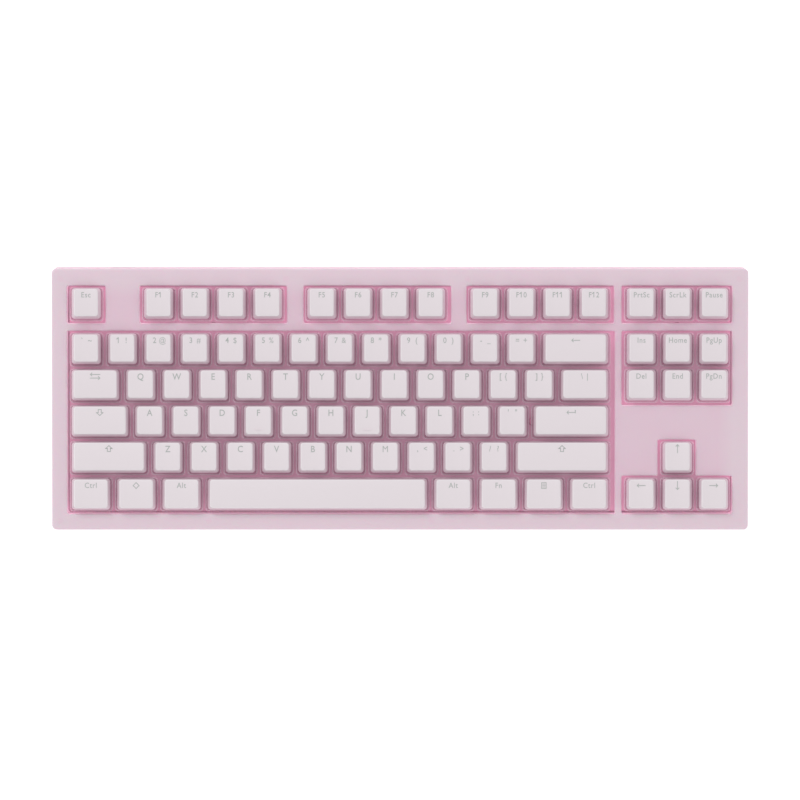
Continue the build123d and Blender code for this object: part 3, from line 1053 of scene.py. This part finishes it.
@dataclass
class Keys:
    """All keys, one piece for each moving body."""

    deck: Deck
    layout: Layout
    # The shell's side colour is painted pink shade and its rim colour a painted highlight.
    shell: ShellFinish = ShellFinish("cap_shell", srgb(238, 230, 234), 0.5, 1800.0, 0.000012, 0.02,
                                     side=srgb(236, 219, 227), rim=srgb(247, 244, 246))
    # The skirt's dark pink is painted shade of the hollow under the shell seen through it. Its foot colour is
    # a painted highlight and its glow is painted light.
    skirt: SkirtFinish = SkirtFinish("cap_skirt", srgb(174, 124, 147), 0.35, 1500.0, 0.00001, 0.04,
                                     glow=0.1, alpha=0.55, foot=srgb(228, 206, 217))
    legend: Finish = Finish("legend", srgb(186, 191, 188), 0.5, 1800.0, 0.00001, 0.03)
    slider: Finish = Finish("slider", srgb(235, 215, 225), 0.4)

    def make(self) -> None:
        """Builds each body's keys and sets them to ride it."""
        shape = KeyShape(self.layout, Lettering())
        out = tuple(self.deck.normal())
        foot = self.deck.origin.dot(self.deck.normal()) + shape.skirt * MM
        shell, skirt = replace(self.shell, normal=out), replace(self.skirt, normal=out, foot_height=foot)
        materials = [finish.material() for finish in (shell, skirt, self.legend, self.slider)]
        for body, keys in self.layout.groups().items():
            build = Builder(self.deck)
            for key in keys:
                shape.add(build, key)
            piece = build.finish(f"{body}_looks", materials)
            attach(piece, body)
            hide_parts(body)
            log.info("%s: %d keys, %d faces", piece.name, len(keys), len(piece.data.polygons))


@dataclass
class Springs:
    """The coil springs of the switches, made by one node tree."""

    deck: Deck
    layout: Layout
    foot: float = -4.2
    top: float = 4.4
    radius: float = 1.95
    wire: float = 0.16
    turns: float = 7.0
    turn_steps: int = 10
    wire_sides: int = 5
    finish: Finish = Finish("spring_steel", (0.55, 0.55, 0.57, 1.0), 0.3, 3000.0, 0.000004, 0.03, 1.0)

    def tree(self) -> bpy.types.NodeTree:
        """The node tree: a coil on every point, turned to stand square on the deck.

        Returns:
            The tree, with inputs for the coil's sizes.
        """
        tree = bpy.data.node_groups.new("coils", "GeometryNodeTree")
        tree.interface.new_socket("Points", in_out="INPUT", socket_type="NodeSocketGeometry")
        sizes = {"Turns": self.turns, "Radius": self.radius * MM, "Height": (self.top - self.foot) * MM,
                 "Wire": self.wire * MM, "Slope": self.deck.slope}
        for name, value in sizes.items():
            socket = tree.interface.new_socket(name, in_out="INPUT", socket_type="NodeSocketFloat")
            socket.default_value = value
        tree.interface.new_socket("Material", in_out="INPUT", socket_type="NodeSocketMaterial")
        tree.interface.new_socket("Coils", in_out="OUTPUT", socket_type="NodeSocketGeometry")
        nodes, links = tree.nodes, tree.links
        start, end = nodes.new("NodeGroupInput"), nodes.new("NodeGroupOutput")
        coil = nodes.new("GeometryNodeCurveSpiral")
        coil.inputs["Resolution"].default_value = self.turn_steps
        ring = nodes.new("GeometryNodeCurvePrimitiveCircle")
        ring.inputs["Resolution"].default_value = self.wire_sides
        skin, turn = nodes.new("GeometryNodeCurveToMesh"), nodes.new("ShaderNodeCombineXYZ")
        skin.inputs["Fill Caps"].default_value = True
        copies, real = nodes.new("GeometryNodeInstanceOnPoints"), nodes.new("GeometryNodeRealizeInstances")
        paint = nodes.new("GeometryNodeSetMaterial")
        for source, output, target, entry in (
                (start, "Turns", coil, "Rotations"), (start, "Radius", coil, "Start Radius"),
                (start, "Radius", coil, "End Radius"), (start, "Height", coil, "Height"),
                (start, "Wire", ring, "Radius"), (coil, "Curve", skin, "Curve"),
                (ring, "Curve", skin, "Profile Curve"), (start, "Slope", turn, "X"),
                (start, "Points", copies, "Points"), (skin, "Mesh", copies, "Instance"),
                (turn, "Vector", copies, "Rotation"), (copies, "Instances", real, "Geometry"),
                (real, "Geometry", paint, "Geometry"), (start, "Material", paint, "Material"),
                (paint, "Geometry", end, "Coils")):
            links.new(source.outputs[output], target.inputs[entry])
        return tree

    def make(self) -> None:
        """Builds the springs as one plain mesh in place of their CAD node."""
        to_world = self.deck.matrix() @ Matrix.Scale(MM, 4)
        points = bpy.data.meshes.new("spring_feet")
        spots = [self.layout.spot(key) for key in self.layout.keys()]
        points.from_pydata([to_world @ Vector((u, v, self.foot)) for u, v in spots], [], [])
        holder = bpy.data.objects.new("spring_points", points)
        bpy.context.collection.objects.link(holder)
        modifier = holder.modifiers.new("coils", "NODES")
        modifier.node_group = self.tree()
        sockets = {item.name: item.identifier for item in modifier.node_group.interface.items_tree}
        material = self.finish.material()
        modifier[sockets["Material"]] = material
        bpy.context.view_layer.update()
        evaluated = holder.evaluated_get(bpy.context.evaluated_depsgraph_get())
        data = bpy.data.meshes.new_from_object(evaluated)
        holder.modifiers.remove(modifier)
        bpy.data.objects.remove(holder)
        piece = bpy.data.objects.new("switch_spring_coils", data)
        if not data.materials:
            data.materials.append(material)
        bpy.context.collection.objects.link(piece)
        for polygon in data.polygons:
            polygon.use_smooth = True
        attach(piece, "case")
        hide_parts("switch_springs")
        log.info("%s: %d springs", piece.name, len(spots))


@dataclass
class CarriedParts:
    """The CAD nodes that stay in sight and only need a finish."""

    deck: Deck
    steel: Finish = Finish("screw_steel", (0.42, 0.42, 0.44, 1.0), 0.35, 900.0, 0.000006, 0.06, 1.0)
    rubber: Finish = Finish("foot_rubber", srgb(196, 170, 184), 0.85, 1600.0, 0.00003, 0.08)
    # The plate's pink is its paint. Its glow is painted light.
    plate: Finish = Finish("plate_paint", srgb(236, 184, 208), 0.45, 1400.0, 0.000012, 0.04,
                           coat=0.2, glow=0.2)
    board: Finish = Finish("board_mask", srgb(214, 150, 180), 0.35, 500.0, 0.00001, 0.08, coat=0.4)
    epoxy: Finish = Finish("chip_epoxy", (0.02, 0.02, 0.022, 1.0), 0.55, 2600.0, 0.00001, 0.1)
    nylon: Finish = Finish("housing_nylon", srgb(232, 190, 210), 0.5, 1500.0, 0.00001, 0.05)
    screws: tuple[Pair, ...] = (
        (-178.55, 63.35), (-59.85, 63.35), (35.65, 63.35), (178.55, 63.35),
        (-178.55, -64.05), (-100.55, -64.05), (16.55, -64.05), (114.55, -64.05), (178.55, -64.05))
    frame_top: float = 7.5
    split: float = 0.5
    margin: float = 0.001
    clear: SkirtFinish = SkirtFinish("housing_clear", srgb(238, 200, 218), 0.25, 1500.0, 0.000006, 0.04,
                                     alpha=0.7, foot_height=-1.0)
    brass: Finish = Finish("pin_brass", (0.75, 0.52, 0.22, 1.0), 0.3, 2000.0, 0.000004, 0.05, 1.0)
    wire: Finish = Finish("wire_steel", (0.6, 0.6, 0.62, 1.0), 0.25, 2500.0, 0.000004, 0.04, 1.0)

    def acrylic(self) -> AcrylicFinish:
        """The case's finish, fitted to the plate under its frame."""
        low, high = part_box("switch_plate")
        to_world, normal = self.deck.matrix(), self.deck.normal()
        heads = [to_world @ Vector((u * MM, v * MM, self.frame_top * MM)) for u, v in self.screws]
        # glow is the cut walls' painted glow, inner is the painted pink glow over the tray, and the screw
        # places carry painted shade.
        return AcrylicFinish("case_acrylic", srgb(233, 214, 224), 0.6, 1300.0, 0.00001, 0.02, glow=0.45,
                             wall=srgb(238, 204, 220), inner=srgb(232, 205, 219), normal=tuple(normal),
                             screws=tuple((head.x, head.y) for head in heads),
                             seam=self.deck.origin.dot(normal) + self.split * MM,
                             half_width=high[0] + self.margin,
                             half_depth=(high[1] - low[1]) / 2 + self.margin)

    def make(self) -> None:
        """Gives every carried node its material."""
        case = self.acrylic().material()
        finishes = {
            "top_frame": case, "bottom_case": case, "case_screws": self.steel.material(),
            "rubber_feet": self.rubber.material(), "switch_plate": self.plate.material(),
            "circuit_board": self.board.material(), "board_components": self.epoxy.material(),
            "switch_lower_housings": self.nylon.material(), "switch_upper_housings": self.clear.material(),
            "switch_contacts": self.brass.material(), "stabiliser_housings": self.nylon.material(),
        }
        finishes["usb_socket"] = finishes["case_screws"]
        finishes["board_screws"] = finishes["switch_plate"]
        wire = self.wire.material()
        finishes.update({name: wire for name in frame["nodes"] if name.startswith("stabiliser_wire")})
        for name, material in finishes.items():
            slots = frame["nodes"][name].data.materials
            slots.clear()
            slots.append(material)
            log.info("%s: %s", name, material.name)


@dataclass
class Studio:
    """The floor, the lights and the camera, square above the deck."""

    deck: Deck
    shown_width: float = 0.4208
    case_top: float = 0.0075
    lens: float = 400.0
    drop: float = 0.0004
    lean: float = 2.5
    sensor: float = 36.0
    floor_half: float = 6.0
    sky: float = 0.62
    sky_colour: Colour = (1.0, 0.99, 0.995, 1.0)
    paper: Finish = Finish("floor_paper", (0.45, 0.45, 0.45, 1.0), 0.9, 200.0, 0.00001, 0.0, glow=1.6)

    def floor(self) -> None:
        """A wide pale floor under the feet."""
        data = bpy.data.meshes.new("floor")
        half = self.floor_half
        data.from_pydata([(-half, -half, 0), (half, -half, 0), (half, half, 0), (-half, half, 0)], [],
                         [(0, 1, 2, 3)])
        made = bpy.data.objects.new("floor", data)
        bpy.context.collection.objects.link(made)
        data.materials.append(self.paper.material())

    def light(self, name: str, place: Triple, size: float, power: float) -> None:
        """A square soft light aimed at the keyboard.

        Args:
            name: Its name.
            place: Where it hangs.
            size: The length of its sides.
            power: Its power in watts.
        """
        data = bpy.data.lights.new(name, "AREA")
        data.shape, data.size, data.energy = "SQUARE", size, power
        made = bpy.data.objects.new(name, data)
        made.location = place
        made.rotation_euler = (-Vector(place)).to_track_quat("-Z", "Y").to_euler()
        bpy.context.collection.objects.link(made)

    def camera(self) -> None:
        """A long lens looking straight down on the keys."""
        data = bpy.data.cameras.new("camera")
        data.lens, data.sensor_width, data.clip_end = self.lens, self.sensor, 100.0
        made = bpy.data.objects.new("camera", data)
        distance = self.shown_width * self.lens / self.sensor
        aim = self.deck.matrix() @ Matrix.Translation((0, -self.drop, self.case_top))
        lean = Matrix.Rotation(-math.radians(self.lean), 4, "X")
        made.matrix_world = aim @ lean @ Matrix.Translation((0, 0, distance))
        bpy.context.collection.objects.link(made)
        bpy.context.scene.camera = made

    def make(self) -> None:
        """Sets the whole studio."""
        self.floor()
        self.light("key_light", (-1.0, 1.25, 2.3), 1.0, 20.0)
        self.light("fill_light", (1.2, -1.4, 2.2), 2.0, 8.0)
        world = bpy.data.worlds.new("studio")
        world.use_nodes = True
        sky = world.node_tree.nodes["Background"].inputs
        sky["Color"].default_value, sky["Strength"].default_value = self.sky_colour, self.sky
        bpy.context.scene.world = world
        bpy.context.scene.view_settings.view_transform = "Standard"
        self.camera()


def main() -> None:
    """Builds everything in order."""
    logging.basicConfig(level=logging.INFO, format="%(name)s: %(message)s")
    deck, layout = Deck.of_frame(), Layout()
    log.info("deck at %s, %.2f degrees", tuple(round(c, 5) for c in deck.origin), math.degrees(deck.slope))
    CarriedParts(deck).make()
    Keys(deck, layout).make()
    Springs(deck, layout).make()
    Studio(deck).make()


if __name__ == "__main__":
    main()
